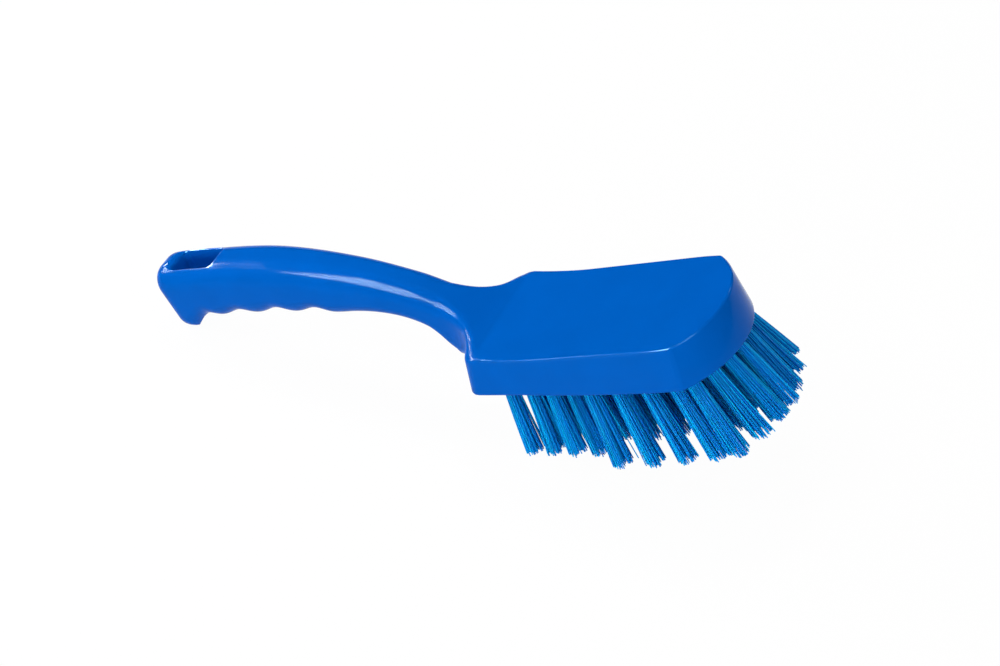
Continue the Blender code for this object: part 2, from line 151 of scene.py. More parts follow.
# Half-width of the handle: share of its length from the head, share of the grip's half-width
GRIP_WIDTH_SHARES = (
    (0.19, 0.807), (0.25, 0.815), (0.34, 0.865), (0.50, 0.960), (0.66, 1.000), (0.92, 1.000),
    (1.00, 0.960),
)
# Top line: share of the handle's length from the head, share of the handle's rise
TOP_LINE_SHARES = (
    (0.00, 0.0545), (0.035, 0.117), (0.067, 0.190), (0.135, 0.345), (0.223, 0.518),
    (0.391, 0.743), (0.615, 0.932), (0.84, 0.991), (1.00, 1.000),
)
# Bottom line without its grooves, in the same shares
BOTTOM_LINE_SHARES = (
    (0.130, -0.215), (0.148, -0.150), (0.168, -0.045), (0.192, 0.054), (0.234, 0.150),
    (0.279, 0.220), (0.335, 0.276), (0.391, 0.308), (0.451, 0.323), (0.565, 0.378),
    (0.696, 0.414), (0.818, 0.429), (0.868, 0.462), (0.903, 0.427), (0.936, 0.368),
    (0.966, 0.320), (1.00, 0.320),
)
# Forward lean of the tufts and length of their filaments: share of the head's length, share of the
# nose's lean or of the trim
LEAN_SHARES = ((0.03, 0.12), (0.20, 0.22), (0.42, 0.45), (0.66, 0.78), (0.80, 0.88), (1.00, 1.00))
TRIM_SHARES = ((0.05, 0.960), (0.33, 0.970), (0.43, 1.035), (0.70, 1.020), (1.00, 1.000))

# Rims of the hang slot: how far they turn outwards, how much rounder again they are at the rear
# end, and how far the cutter rises over the skin, in radii of the rim
RIM_TURN = math.radians(68)
SLOT_END_RIM_SHARE = 1.4
CUTTER_RISE = 6

# Where the mould is polished: past the slot by this share of its rim's radius, and on the head's
# top edge down to this depth, where the skin's normal points up by a share between these
POLISH_PAST_SLOT = 0.9
POLISH_DEPTH = 1.2 * EDGE_RADIUS
POLISH_LEAST_UP = 0.17
POLISH_MOST_UP = 0.975

# The polish of the skin differs from patch to patch by this much roughness, down and up
SMOOTHER_PATCH = 0.03
ROUGHER_PATCH = 0.04
RIPPLE_DEPTH = 0.1 * MM

# Filaments: how deep in their hole they start, the turn from one to the next and how far it may
# miss, the least share of the clumping, how much a filament bows for its stray, and which ones
# stray further or are cut shorter
ROOT_DEPTH = 2 * MM
GOLDEN_ANGLE = math.pi * (3 - math.sqrt(5))
TURN_MISS = 0.2
LEAST_CLUMPING = 0.4
BOW_SHARE = 0.3
STRAY_EVERY, FIRST_STRAY, STRAY_REACH = 23, 7, 6
SHORT_EVERY, FIRST_SHORT = 11, 3

# Faces that meet at a sharper angle than this show an edge
BODY_EDGE_ANGLE = math.radians(42)
FILAMENT_EDGE_ANGLE = math.radians(80)

# Steps of the fine loft
CORNER_STEPS = 12
FLAT_STEPS = 14
CAP_STEPS = 10
GRIP_STATIONS = 136
NECK_STATIONS = 44
HEAD_STATIONS = 60
HOLE_SIDES = 24
SLOT_CORNER_STEPS = 8
SLOT_SIDE_STEPS = 10
RIM_STEPS = 5
FILAMENT_SIDES = 5
FILAMENT_STEPS = 4

SIDES = (("left", 1), ("right", -1))
# The flat face mount on the head's top lies this far in front of the head's rear corners
TOP_MOUNT_PLACE = 70.0 * MM
# Higher than any part of the brush
ABOVE_ALL = 200.0 * MM
# The holes' cutters stand this far out of the underside
HOLE_OVERRUN = 4 * MM


def resting_matrix():
    """Where the record's mount on the head's top says that the head's own frame stands."""
    mount = next(m for m in frame["record"]["mounts"] if m["name"] == "head_top_face")
    axis = Vector(mount["axis"])
    turn = Matrix.Rotation(-math.atan2(-axis.x, axis.z), 4, "Y")
    place = Vector(mount["pos_m"]) - turn @ Vector((TOP_MOUNT_PLACE, 0, 0))
    return Matrix.Translation(place) @ turn


POSE = resting_matrix()


def linear(hex_colour):
    """Turns an sRGB hex value into a linear colour."""
    channels = [int(hex_colour[i:i + 2], 16) / 255 for i in (1, 3, 5)]
    levels = [c / 12.92 if c <= 0.04045 else ((c + 0.055) / 1.055) ** 2.4 for c in channels]
    return (*levels, 1.0)


def node(tree, kind, settings=None, links=None):
    """Adds a node: settings by property or socket name, links as {socket: (node, output)}."""
    added = tree.nodes.new(kind)
    for key, value in (settings or {}).items():
        if key in added.inputs:
            added.inputs[key].default_value = value
        else:
            setattr(added, key, value)
    for key, (source, output) in (links or {}).items():
        tree.links.new(source.outputs[output], added.inputs[key])
    return added


def new_material(name):
    """An empty material and its node tree."""
    material = bpy.data.materials.new(name)
    material.use_nodes = True
    material.node_tree.nodes.clear()
    return material, material.node_tree


# Lines and sections of the body

def smooth_line(points, place):
    """Height at a place on a smooth curve through (place, height) points in rising order."""
    if place <= points[0][0]:
        return points[0][1]
    if place >= points[-1][0]:
        return points[-1][1]
    index = max(i for i in range(len(points) - 1) if points[i][0] <= place)
    x0, y0 = points[index]
    x1, y1 = points[index + 1]
    span = x1 - x0

    def slope(i):
        before = points[max(i - 1, 0)]
        after = points[min(i + 1, len(points) - 1)]
        return (after[1] - before[1]) / (after[0] - before[0])

    t = (place - x0) / span
    start = (2 * t**3 - 3 * t**2 + 1) * y0 + (t**3 - 2 * t**2 + t) * span * slope(index)
    end = (3 * t**2 - 2 * t**3) * y1 + (t**3 - t**2) * span * slope(index + 1)
    return start + end


def smooth_step(share):
    """Rises from 0 to 1 without a kink."""
    t = min(max(share, 0.0), 1.0)
    return t * t * (3 - 2 * t)


def soft_minimum(a, b, blend):
    """The lower of two lines, with their corner rounded."""
    overlap = max(blend - abs(a - b), 0.0) / blend
    return min(a, b) - overlap * overlap * blend / 4


def plan_half_width(x):
    """Half-width of the outline at the top: head's side, its rear corner, neck and grip."""
    side = HEAD_HALF_WIDTH - HEAD_SIDE_TAPER * (1 - x / HEAD_SIDE_LENGTH)
    corner = max(1 - (HEAD_SIDE_LENGTH - x) / NOSE_CORNER_LENGTH, 0.0)
    if x > NECK_SWEEP:
        return side - NOSE_CORNER_EASE * corner**2
    reach = max(1 + x / NECK_SWEEP, 0.0)
    sweep = (HEAD_HALF_WIDTH - HEAD_SIDE_TAPER - NECK_HALF_WIDTH) * reach**NECK_SWEEP_POWER
    handle = GRIP_HALF_WIDTH * smooth_line(GRIP_WIDTH_SHARES, -x / HANDLE_LENGTH)
    return soft_minimum(side, handle + sweep, EAR_SOFTENING)


def top_height(x):
    """Height of the top line: flat on the head, rising to its rear and along the handle."""
    if x >= 0:
        return REAR_TOP_RISE * max(1 - x / REAR_TOP_RISE_LENGTH, 0.0) ** 2
    return HANDLE_RISE * smooth_line(TOP_LINE_SHARES, -x / HANDLE_LENGTH)


def underside_height(x):
    """Height of the head's underside, which arches up towards the handle."""
    return -BLOCK_THICKNESS + UNDERSIDE_ARCH * max(1 - x / HEAD_SIDE_LENGTH, 0.0) ** 2


def groove_rise(x):
    """How far a finger groove cuts into the underside of the grip."""
    turns = (-x - FIRST_BUMP_FROM_HEAD) / GROOVE_PITCH
    if turns <= 0 or turns >= GROOVE_COUNT:
        return 0.0
    return GROOVE_DEPTH * math.sin(math.pi * turns) ** 2


def bottom_height(x):
    """Height of the bottom line: the head's underside, the neck's hollow, the grip and the lobe."""
    share = -x / HANDLE_LENGTH
    if share <= BOTTOM_LINE_SHARES[0][0]:
        return underside_height(x)
    return HANDLE_RISE * smooth_line(BOTTOM_LINE_SHARES, share) + groove_rise(x)


def nose_radius():
    """Radius of the arc that the nose makes in plan."""
    return (HEAD_HALF_WIDTH**2 + NOSE_BULGE**2) / (2 * NOSE_BULGE)


def head_part(x):
    """1 on the head and 0 on the handle."""
    return smooth_step(1 + x / NECK_SWEEP)


def half_section(x, inset):
    """Half of a cross-section, from the top middle to the bottom middle, as (y, z) points."""
    width = plan_half_width(x)
    rise = min(max((TOP_ROUNDING_START - x) / TOP_ROUNDING_LENGTH, 0.0), 1.0) ** TOP_ROUNDING_POWER
    fall = smooth_step((-x - BOTTOM_ROUNDING_START) / BOTTOM_ROUNDING_LENGTH)
    top_share = HEAD_ROUND_SHARE + (GRIP_TOP_ROUND_SHARE - HEAD_ROUND_SHARE) * rise
    bottom_share = HEAD_ROUND_SHARE + (GRIP_BOTTOM_ROUND_SHARE - HEAD_ROUND_SHARE) * fall
    top_radius = max(max(width * top_share, EDGE_RADIUS) - inset, LEAST_RADIUS)
    bottom_radius = max(max(width * bottom_share, EDGE_RADIUS) - inset, LEAST_RADIUS)
    top = top_height(x) - inset
    bottom = bottom_height(x) + inset * (END_LOWER_SHARE if x < 0 else 1.0)
    top_flat = width - inset - top_radius
    bottom_flat = width + SIDE_FLARE * head_part(x) - inset - bottom_radius
    points = [(top_flat * step / FLAT_STEPS, top) for step in range(FLAT_STEPS)]
    for step in range(CORNER_STEPS + 1):
        angle = math.pi / 2 * step / CORNER_STEPS
        y = top_flat + top_radius * math.sin(angle)
        points.append((y, top - top_radius * (1 - math.cos(angle))))
    for step in range(CORNER_STEPS + 1):
        angle = math.pi / 2 * step / CORNER_STEPS
        y = bottom_flat + bottom_radius * math.cos(angle)
        points.append((y, bottom + bottom_radius * (1 - math.sin(angle))))
    points += [(bottom_flat * (1 - (step + 1) / FLAT_STEPS), bottom) for step in range(FLAT_STEPS)]
    return points


def ear_reach(x, y, fall):
    """How far the rear wall's ears stand behind its top edge: a shoulder, then a slight flare."""
    shoulder = min(max(1 - fall / EAR_REACH_DEPTH, 0.0), 1.0)
    reach = EAR_REACH * math.sqrt(1 - shoulder**2) + EAR_FLARE * fall / BLOCK_THICKNESS
    place = smooth_step(1 + x / EAR_REACH_LENGTH) * smooth_step(1 - x / EAR_FLARE_LENGTH)
    return reach * place * min(abs(y) / plan_half_width(x), 1.0) ** EAR_FLARE_POWER


def along(x, y, z):
    """Where a section's point lies along X: bowed nose, flared walls, eared rear, slanted end."""
    depth = (top_height(x) - z) / BLOCK_THICKNESS
    bow = smooth_step((x - HEAD_SIDE_LENGTH + BOW_LENGTH) / BOW_LENGTH)
    drop = nose_radius() - math.sqrt(max(nose_radius() ** 2 - y**2, 0.0))
    rear = ear_reach(x, y, top_height(x) - z)
    tail = smooth_step((-x - HANDLE_LENGTH + END_SLANT_LENGTH) / END_SLANT_LENGTH)
    slant = END_SLANT * tail * (1 - z / HANDLE_RISE)
    return x + (NOSE_BULGE - drop) * bow + NOSE_FLARE * depth * bow - rear + slant


def stations():
    """Places of the sections, as (x, inset, shift): end's rounding, grip, neck, head, nose edge."""
    places = []
    end = -HANDLE_LENGTH + END_ROUNDING
    for step in range(CAP_STEPS):
        angle = math.pi / 2 * (1 - (step + 0.5) / (CAP_STEPS + 0.5))
        places.append((end, END_ROUNDING * (1 - math.cos(angle)), -END_ROUNDING * math.sin(angle)))
    for step in range(GRIP_STATIONS):
        places.append((end - (end + NECK_SWEEP) * step / GRIP_STATIONS, 0.0, 0.0))
    for step in range(NECK_STATIONS):
        places.append((-NECK_SWEEP * (1 - step / NECK_STATIONS), 0.0, 0.0))
    last = HEAD_SIDE_LENGTH - EDGE_RADIUS
    for step in range(HEAD_STATIONS):
        places.append((last * step / (HEAD_STATIONS - 1), 0.0, 0.0))
    for step in range(1, CORNER_STEPS):
        angle = math.pi / 2 * step / CORNER_STEPS
        places.append((last, EDGE_RADIUS * (1 - math.cos(angle)), EDGE_RADIUS * math.sin(angle)))
    return places


def bridge(bm, rings):
    """Fills the skin between closed rings of vertices that follow each other."""
    for near, far in zip(rings, rings[1:]):
        for i in range(len(near)):
            j = (i + 1) % len(near)
            bm.faces.new((near[i], near[j], far[j], far[i]))


def body_loft():
    """The whole body as a closed skin, without its slot and holes, in the head's own frame."""
    bm = bmesh.new()
    rows = []
    for x, inset, shift in stations():
        half = [(along(x, y, z) + shift, y, z) for y, z in half_section(x, inset)]
        ring = half + [(px, -py, pz) for px, py, pz in reversed(half[1:-1])]
        rows.append([bm.verts.new(point) for point in ring])
    bridge(bm, rows)
    for row in (rows[0], rows[-1]):
        half = len(row) // 2
        for i in range(half // 2):
            bm.faces.new((row[i], row[i + 1], row[half - i - 1], row[half - i]))
            bm.faces.new((row[-i], row[-i - 1], row[half + i + 1], row[half + i]))
    bmesh.ops.recalc_face_normals(bm, faces=bm.faces)
    return bm


# Hang slot and tuft holes

def slot_outline():
    """Points round the hang slot and their outward directions, in plan."""
    half_x = SLOT_LENGTH / 2 - SLOT_CORNER_RADIUS
    half_y = SLOT_WIDTH / 2 - SLOT_CORNER_RADIUS
    corners = [
        Vector((SLOT_MIDDLE + sx * half_x, sy * half_y, 0))
        for sx, sy in ((1, 1), (-1, 1), (-1, -1), (1, -1))
    ]
    outline = []
    for turn, corner in enumerate(corners):
        for step in range(SLOT_CORNER_STEPS + 1):
            angle = math.pi / 2 * (turn + step / SLOT_CORNER_STEPS)
            out = Vector((math.cos(angle), math.sin(angle), 0))
            outline.append((corner + out * SLOT_CORNER_RADIUS, out))
        start = outline[-1][0]
        end = corners[(turn + 1) % len(corners)] + out * SLOT_CORNER_RADIUS
        for step in range(1, SLOT_SIDE_STEPS):
            outline.append((start.lerp(end, step / SLOT_SIDE_STEPS), out))
    return outline


def rim_levels(rim):
    """Rings of the slot's cutter at the skin, as (how far out, how far above the skin)."""
    levels = []
    for step in range(RIM_STEPS + 1):
        angle = RIM_TURN * step / RIM_STEPS
        levels.append((rim * (1 - math.cos(angle)), -rim * (1 - math.sin(angle))))
    out, rise = levels[-1]
    widest = out + rim * math.sin(RIM_TURN)
    return levels + [(widest, rise + rim * math.cos(RIM_TURN)), (widest, rise + CUTTER_RISE * rim)]


def slot_cutter(skin, rim):
    """A bar that cuts the hang slot, flared where it leaves the skin, to round both rims."""
    tree = BVHTree.FromBMesh(skin)
    bm = bmesh.new()
    outline = slot_outline()
    rings = []
    for up in (-1, 1):
        side = []
        for out, rise in rim_levels(rim):
            ring = []
            for point, away in outline:
                start = point + away * min(out, rim) + Vector((0, 0, up * ABOVE_ALL))
                hit = tree.ray_cast(start, Vector((0, 0, -up)))[0]
                grow = 1 + SLOT_END_RIM_SHARE * max(-away.x, 0.0) ** 2
                height = Vector((0, 0, hit.z + up * rise * grow))
                ring.append(bm.verts.new(point + away * out * grow + height))
            side.append(ring)
        rings = side[::-1] if up < 0 else rings + side
    bridge(bm, rings)
    bm.faces.new(rings[0])
    bm.faces.new(rings[-1])
    bmesh.ops.recalc_face_normals(bm, faces=bm.faces)
    if bm.calc_volume(signed=True) < 0:
        bmesh.ops.reverse_faces(bm, faces=bm.faces)
    return bm


def arc_place(front, radius, angle):
    """A place on an arc in plan whose foremost point lies at front."""
    return front - radius * (1 - math.cos(angle)), radius * math.sin(angle)


def nose_places():
    """Name and place of each tuft in the row round the nose, and of the pair behind it."""
    nose = HEAD_SIDE_LENGTH + NOSE_BULGE + NOSE_FLARE
    arc_radius = nose_radius() + SIDE_FLARE
    row_radius = arc_radius - NOSE_INSET
    widest = math.asin((HEAD_HALF_WIDTH + SIDE_FLARE - NOSE_INSET) / row_radius)
    a_side = int(widest * row_radius / NOSE_PITCH)
    places = []
    for number in range(-a_side, a_side + 1):
        x, y = arc_place(nose - NOSE_INSET, row_radius, number * NOSE_PITCH / row_radius)
        places.append((f"nose_{number + a_side + 1}", x, y))
    pair_inset = NOSE_INSET + FRONT_PAIR_SPACING
    pair_radius = arc_radius - pair_inset
    for side, sign in SIDES:
        angle = sign * math.asin(FRONT_PAIR_OFFSET / pair_radius)
        x, y = arc_place(nose - pair_inset, pair_radius, angle)
        places.append((f"front_{side}", x, y))
    return places


def row_places(name, first, pitch, offset, ahead):
    """A row on each side, with as many tufts as fit behind the ones ahead of it."""
    spacing = 2 * HOLE_RADIUS + HOLE_WALL
    end = HEAD_SIDE_LENGTH
    for _, x, y in ahead:
        beside = abs(abs(y) - offset)
        if beside < spacing:
            end = min(end, x - math.sqrt(spacing**2 - beside**2))
    places = []
    for number in range(math.floor((end - first) / pitch) + 1):
        for side, sign in SIDES:
            places.append((f"{name}_{side}_{number + 1}", first + pitch * number, sign * offset))
    return places


def tuft_places():
    """Name and place of each tuft on the head's underside, left and right rows alike."""
    nose = nose_places()
    edge_offset = HEAD_HALF_WIDTH - EDGE_ROW_INSET
    rear_offset = HEAD_HALF_WIDTH - REAR_ROW_INSET
    edge = row_places("edge", EDGE_ROW_START, EDGE_ROW_PITCH, edge_offset, nose)
    rear = row_places("rear", REAR_ROW_START, REAR_ROW_PITCH, rear_offset, edge[:2])
    places = nose + edge + rear
    room = rear_offset - MIDDLE_ROW_OFFSET
    rows = int(room / INNER_ROW_SPACING)
    for row, name in zip(range(rows), ("middle", "inner")):
        first = INNER_ROW_START + INNER_ROW_PITCH / 2 * row
        offset = MIDDLE_ROW_OFFSET + room / rows * row
        places += row_places(name, first, INNER_ROW_PITCH, offset, nose)
    return places


def tuft_matrix(x, y):
    """Frame of a tuft: at the mouth of its hole, with -Z along the leaning filaments."""
    forward = NOSE_LEAN * smooth_line(LEAN_SHARES, x / (HEAD_SIDE_LENGTH + NOSE_BULGE))
    offset = HEAD_HALF_WIDTH - EDGE_ROW_INSET
    sideways = SIDE_LEAN * min(abs(y) / offset, 1.0) ** SIDE_LEAN_POWER
    direction = Vector((math.tan(forward), math.copysign(math.tan(sideways), y), -1.0))
    turn = Vector((0, 0, -1)).rotation_difference(direction)
    return Matrix.Translation((x, y, underside_height(x))) @ turn.to_matrix().to_4x4()


def holes_cutter():
    """One cutter that holds the blind hole of every tuft."""
    bm = bmesh.new()
    length = HOLE_DEPTH + HOLE_OVERRUN
    for _, x, y in tuft_places():
        bmesh.ops.create_cone(
            bm, cap_ends=True, segments=HOLE_SIDES, depth=length,
            radius1=HOLE_RADIUS, radius2=HOLE_RADIUS,
            matrix=tuft_matrix(x, y) @ Matrix.Translation((0, 0, HOLE_DEPTH - length / 2)),
        )
    return bm


def object_of(name, bm):
    """Turns a bmesh in the head's own frame into an object in the resting pose."""
    mesh = bpy.data.meshes.new(name)
    bm.to_mesh(mesh)
    bm.free()
    mesh.transform(POSE)
    obj = bpy.data.objects.new(name, mesh)
    bpy.context.scene.collection.objects.link(obj)
    return obj


def polished_place(place, normal, rim):
    """Whether a face of the body lies on the slot or on the rounding of the head's top edge."""
    past = rim * POLISH_PAST_SLOT
    ahead = rim - SLOT_LENGTH / 2 < place.x - SLOT_MIDDLE < SLOT_LENGTH / 2 + past
    slot = ahead and abs(place.y) < SLOT_WIDTH / 2 + past
    on_head = place.x > EDGE_RADIUS and top_height(place.x) - place.z < POLISH_DEPTH
    return slot or (on_head and POLISH_LEAST_UP < normal.z < POLISH_MOST_UP)


def dress_polished_places(mesh, rim):
    """Gives the second material to the faces where the mould is polished."""
    to_head = POSE.inverted()
    for face in mesh.polygons:
        normal = to_head.to_3x3() @ face.normal
        face.material_index = int(polished_place(to_head @ face.center, normal, rim))


def cut(obj, shapes):
    """Cuts each bmesh out of an object for good."""
    cutters = [object_of("cutter", bm) for bm in shapes]
    for cutter in cutters:
        modifier = obj.modifiers.new("cut", "BOOLEAN")
        modifier.operation = "DIFFERENCE"
        modifier.solver = "EXACT"
        modifier.object = cutter
    depsgraph = bpy.context.evaluated_depsgraph_get()
    result = bpy.data.meshes.new_from_object(obj.evaluated_get(depsgraph))
    obj.modifiers.clear()
    obj.data = result
    for cutter in cutters:
        bpy.data.objects.remove(cutter)


def in_box(place, margin):
    """A place brought inside the CAD model's box, at least a margin from its walls."""
    low, high = CAD_BOX
    return Vector([min(max(c, a + margin), b - margin) for c, a, b in zip(place, low, high)])


def keep_in_box(mesh):
    """Keeps a mesh inside the CAD model's box, which a fine rounding may pass by a hair."""
    for vert in mesh.vertices:
        vert.co = in_box(vert.co, 0.0)


# Materials

def noise_scale(patch):
    """Scale of a noise whose light and dark patches are each this wide."""
    return 1 / (patch * 2)


def moulded_polypropylene(name, gloss_level, gloss_tint, settings):
    """Injection-moulded polypropylene copolymer, dyed through and shot in a polished mould.

    It gives an even, saturated blue with a soft satin gloss, and a faint ripple where the melt
    shrank, which only shows at the edge of a highlight. The slot and the head's top edge are
    glossier than the skin, since the mould is polished where it parts, so they catch thin lines.
    """
    material, tree = new_material(name)
    place = node(tree, "ShaderNodeTexCoord")
    ripple = node(
        tree, "ShaderNodeTexNoise",
        {"Scale": noise_scale(settings.ripple), "Detail": 2.0, "Roughness": 0.4},
        {"Vector": (place, "Object")},
    )
    grain = node(
        tree, "ShaderNodeTexNoise",
        {"Scale": noise_scale(settings.grain), "Detail": 3.0, "Roughness": 0.6},
        {"Vector": (place, "Object")},
    )
    gloss = node(
        tree, "ShaderNodeMapRange",
        {"From Min": 0.3, "From Max": 0.7, "To Min": settings.roughness - SMOOTHER_PATCH,
         "To Max": settings.roughness + ROUGHER_PATCH},
        {"Value": (grain, "Fac")},
    )
    tint = node(
        tree, "ShaderNodeMix",
        {"data_type": "RGBA", "A": linear(settings.colour), "B": linear(settings.deep_colour)},
        {"Factor": (ripple, "Fac")},
    )
    wave = node(
        tree, "ShaderNodeBump",
        {"Strength": 0.10, "Distance": RIPPLE_DEPTH}, {"Height": (ripple, "Fac")},
    )
    shader = node(
        tree, "ShaderNodeBsdfPrincipled",
        {"IOR": 1.49, "Specular IOR Level": gloss_level, "Specular Tint": linear(gloss_tint)},
        {"Base Color": (tint, "Result"), "Roughness": (gloss, "Result"),
         "Normal": (wave, "Normal")},
    )
    node(tree, "ShaderNodeOutputMaterial", links={"Surface": (shader, "BSDF")})
    return material


def drawn_polyester(settings):
    """Drawn polyester (PBT) monofilament, dyed through, with a smooth skin from its die.

    It gives each filament a lighter, slightly translucent blue than the body, a thin highlight
    along its length, and a small difference from its neighbours.
    """
    material, tree = new_material("drawn_polyester_filament")
    strand = node(tree, "ShaderNodeNewGeometry")
    tint = node(
        tree, "ShaderNodeMix",
        {"data_type": "RGBA", "A": linear(settings.colour), "B": linear(settings.deep_colour)},
        {"Factor": (strand, "Random Per Island")},
    )
    shader = node(
        tree, "ShaderNodeBsdfPrincipled",
        {"IOR": 1.57, "Roughness": 0.38, "Specular IOR Level": settings.gloss,
         "Subsurface Weight": 0.15, "Subsurface Radius": (0.2, 0.7, 1.0),
         "Subsurface Scale": settings.diameter * 2},
        {"Base Color": (tint, "Result")},
    )
    node(tree, "ShaderNodeOutputMaterial", links={"Surface": (shader, "BSDF")})
    return material


def seen_directly(tree):
    """1 where the camera sees a surface, straight or in gloss or through glass, and 0 elsewhere."""
    path = node(tree, "ShaderNodeLightPath")
    seen = node(
        tree, "ShaderNodeMath", {"operation": "MAXIMUM"},
        {0: (path, "Is Camera Ray"), 1: (path, "Is Glossy Ray")},
    )
    return node(
        tree, "ShaderNodeMath", {"operation": "MAXIMUM"},
        {0: (seen, "Value"), 1: (path, "Is Transmission Ray")},
    )


def studio_paper(settings):
    """Matt white studio paper, which shows white with a faint trace of the brush's shadow."""
    material, tree = new_material("studio_paper")
    seen = seen_directly(tree)
    glow = node(
        tree, "ShaderNodeEmission", {"Color": linear("#FFFFFF"), "Strength": settings.floor_glow},
    )
    thin = node(tree, "ShaderNodeBsdfDiffuse", {"Color": (1 - settings.floor_glow,) * 3 + (1.0,)})
    plain = node(tree, "ShaderNodeBsdfDiffuse", {"Color": linear("#D8D8D8")})
    both = node(tree, "ShaderNodeAddShader", links={0: (glow, "Emission"), 1: (thin, "BSDF")})
    surface = node(
        tree, "ShaderNodeMixShader",
        links={"Fac": (seen, "Value"), 1: (plain, "BSDF"), 2: (both, "Shader")},
    )
    node(tree, "ShaderNodeOutputMaterial", links={"Surface": (surface, "Shader")})
    return material


# Tufts

def filament(verts, faces, root, tip, bow, radius):
    """Adds one filament: a thin tube from root to tip, a little bowed, closed at its cut end."""
    way = (tip - root).normalized()
    across = way.orthogonal().normalized()
    other = way.cross(across)
    first = len(verts)
    for step in range(FILAMENT_STEPS + 1):
        t = step / FILAMENT_STEPS
        centre = root.lerp(tip, t) + bow * math.sin(math.pi * t)
        for side in range(FILAMENT_SIDES):
            angle = 2 * math.pi * side / FILAMENT_SIDES
            verts.append(centre + (across * math.cos(angle) + other * math.sin(angle)) * radius)
    for step in range(FILAMENT_STEPS):
        low = first + step * FILAMENT_SIDES
        for side in range(FILAMENT_SIDES):
            beside = (side + 1) % FILAMENT_SIDES
            faces.append((low + side, low + beside,
                          low + FILAMENT_SIDES + beside, low + FILAMENT_SIDES + side))
    last = first + FILAMENT_STEPS * FILAMENT_SIDES
    faces.append(tuple(last + side for side in range(FILAMENT_SIDES)))
    faces.append(tuple(first + side for side in reversed(range(FILAMENT_SIDES))))


def drift(rng, spread):
    """A random sideways vector, with spread as the usual size of its two parts."""
    return Vector((rng.gauss(0, 1), rng.gauss(0, 1), 0)) * spread


def tuft_of_filaments(name, x, y, settings):
    """One tuft: filaments packed in their hole, fanning into loose clumps towards the flat trim."""
    rng = random.Random(name)
    # The head's upward direction in the tuft's own frame, so that the trim comes out level
    level = tuft_matrix(x, y).to_3x3().transposed() @ Vector((0, 0, 1))
    matrix = POSE @ tuft_matrix(x, y)
    length = TRIM_LENGTH * smooth_line(TRIM_SHARES, x / (HEAD_SIDE_LENGTH + NOSE_BULGE))
    radius = settings.diameter / 2
    packed = TUFT_RADIUS - radius
    fanned = TUFT_SPLAY + settings.fan
    clumps = []
    for _ in range(settings.clumps):
        angle = rng.uniform(0, 2 * math.pi)
        reach = fanned * math.sqrt(rng.random())
        clumps.append(Vector((reach * math.cos(angle), reach * math.sin(angle), 0)))
    sway = Vector((rng.uniform(-1, 1), rng.uniform(-1, 1), 0)) * settings.sway
    verts, faces = [], []
    for number in range(settings.count):
        share = math.sqrt((number + 0.5) / settings.count)
        angle = number * GOLDEN_ANGLE + rng.uniform(-TURN_MISS, TURN_MISS)
        out = Vector((math.cos(angle), math.sin(angle), 0)) * share
        root = out * packed + Vector((0, 0, ROOT_DEPTH))
        reach = STRAY_REACH if number % STRAY_EVERY == FIRST_STRAY else 1
        tip = out * fanned + drift(rng, settings.stray * reach)
        nearest = min(clumps, key=lambda c: (c - tip).length)
        tip += (nearest - tip) * settings.clumping * rng.uniform(LEAST_CLUMPING, 1.0)
        tip.z = -length - (level.x * tip.x + level.y * tip.y) / level.z
        uneven, shorter = rng.gauss(0, settings.ragged), abs(rng.gauss(0, settings.ragged))
        tip.z += uneven - shorter * (number % SHORT_EVERY == FIRST_SHORT)
        bow = sway + drift(rng, settings.stray * BOW_SHARE)
        end = in_box(matrix @ tip, radius)
        filament(verts, faces, matrix @ root, end, matrix.to_3x3() @ bow, radius)
    mesh = bpy.data.meshes.new(name)
    mesh.from_pydata(verts, [], faces)
    keep_in_box(mesh)
    mesh.shade_smooth()
    mesh.set_sharp_from_angle(angle=FILAMENT_EDGE_ANGLE)
    obj = bpy.data.objects.new(name, mesh)
    bpy.context.scene.collection.objects.link(obj)
    return obj


# Settings that a user would change

class HandBrushBodySettings(bpy.types.PropertyGroup):
    """Looks of the moulded body."""

    colour: StringProperty(
        name="Colour", description="Blue of the plastic, sRGB hex", default="#0060C4",
    )
    deep_colour: StringProperty(
        name="Deep colour", description="Blue where the dye lies thicker, sRGB hex",
        default="#005ABA",
    )
    roughness: FloatProperty(
        name="Roughness", description="Roughness of the moulded skin",
        default=0.11, min=0.05, max=1.0,
    )
    gloss: FloatProperty(
        name="Gloss", description="Strength of the skin's reflection",
        default=0.03, min=0.0, max=1.0,
    )
    gloss_tint: StringProperty(
        name="Gloss tint", description="Colour of the skin's reflection, sRGB hex",
        default="#CCF4FF",
    )
    edge_gloss: FloatProperty(
        name="Edge gloss",
        description="Strength of the reflection on the hang slot and the head's top edge",
        default=0.32, min=0.0, max=1.0,
    )
    edge_tint: StringProperty(
        name="Edge tint", description="Colour of the reflection on the polished edges, sRGB hex",
        default="#90DAFF",
    )
    slot_rim: FloatProperty(
        name="Slot rim", description="Rounding of the hang slot's rims",
        default=1.2 * MM, min=0.2 * MM, max=2 * MM, unit="LENGTH",
    )
    ripple: FloatProperty(
        name="Ripple", description="Width of the faint waves in the moulded skin",
        default=9 * MM, min=1 * MM, unit="LENGTH",
    )
    grain: FloatProperty(
        name="Grain", description="Size of the patches where the mould's polish differs",
        default=1.2 * MM, min=0.2 * MM, unit="LENGTH",
    )


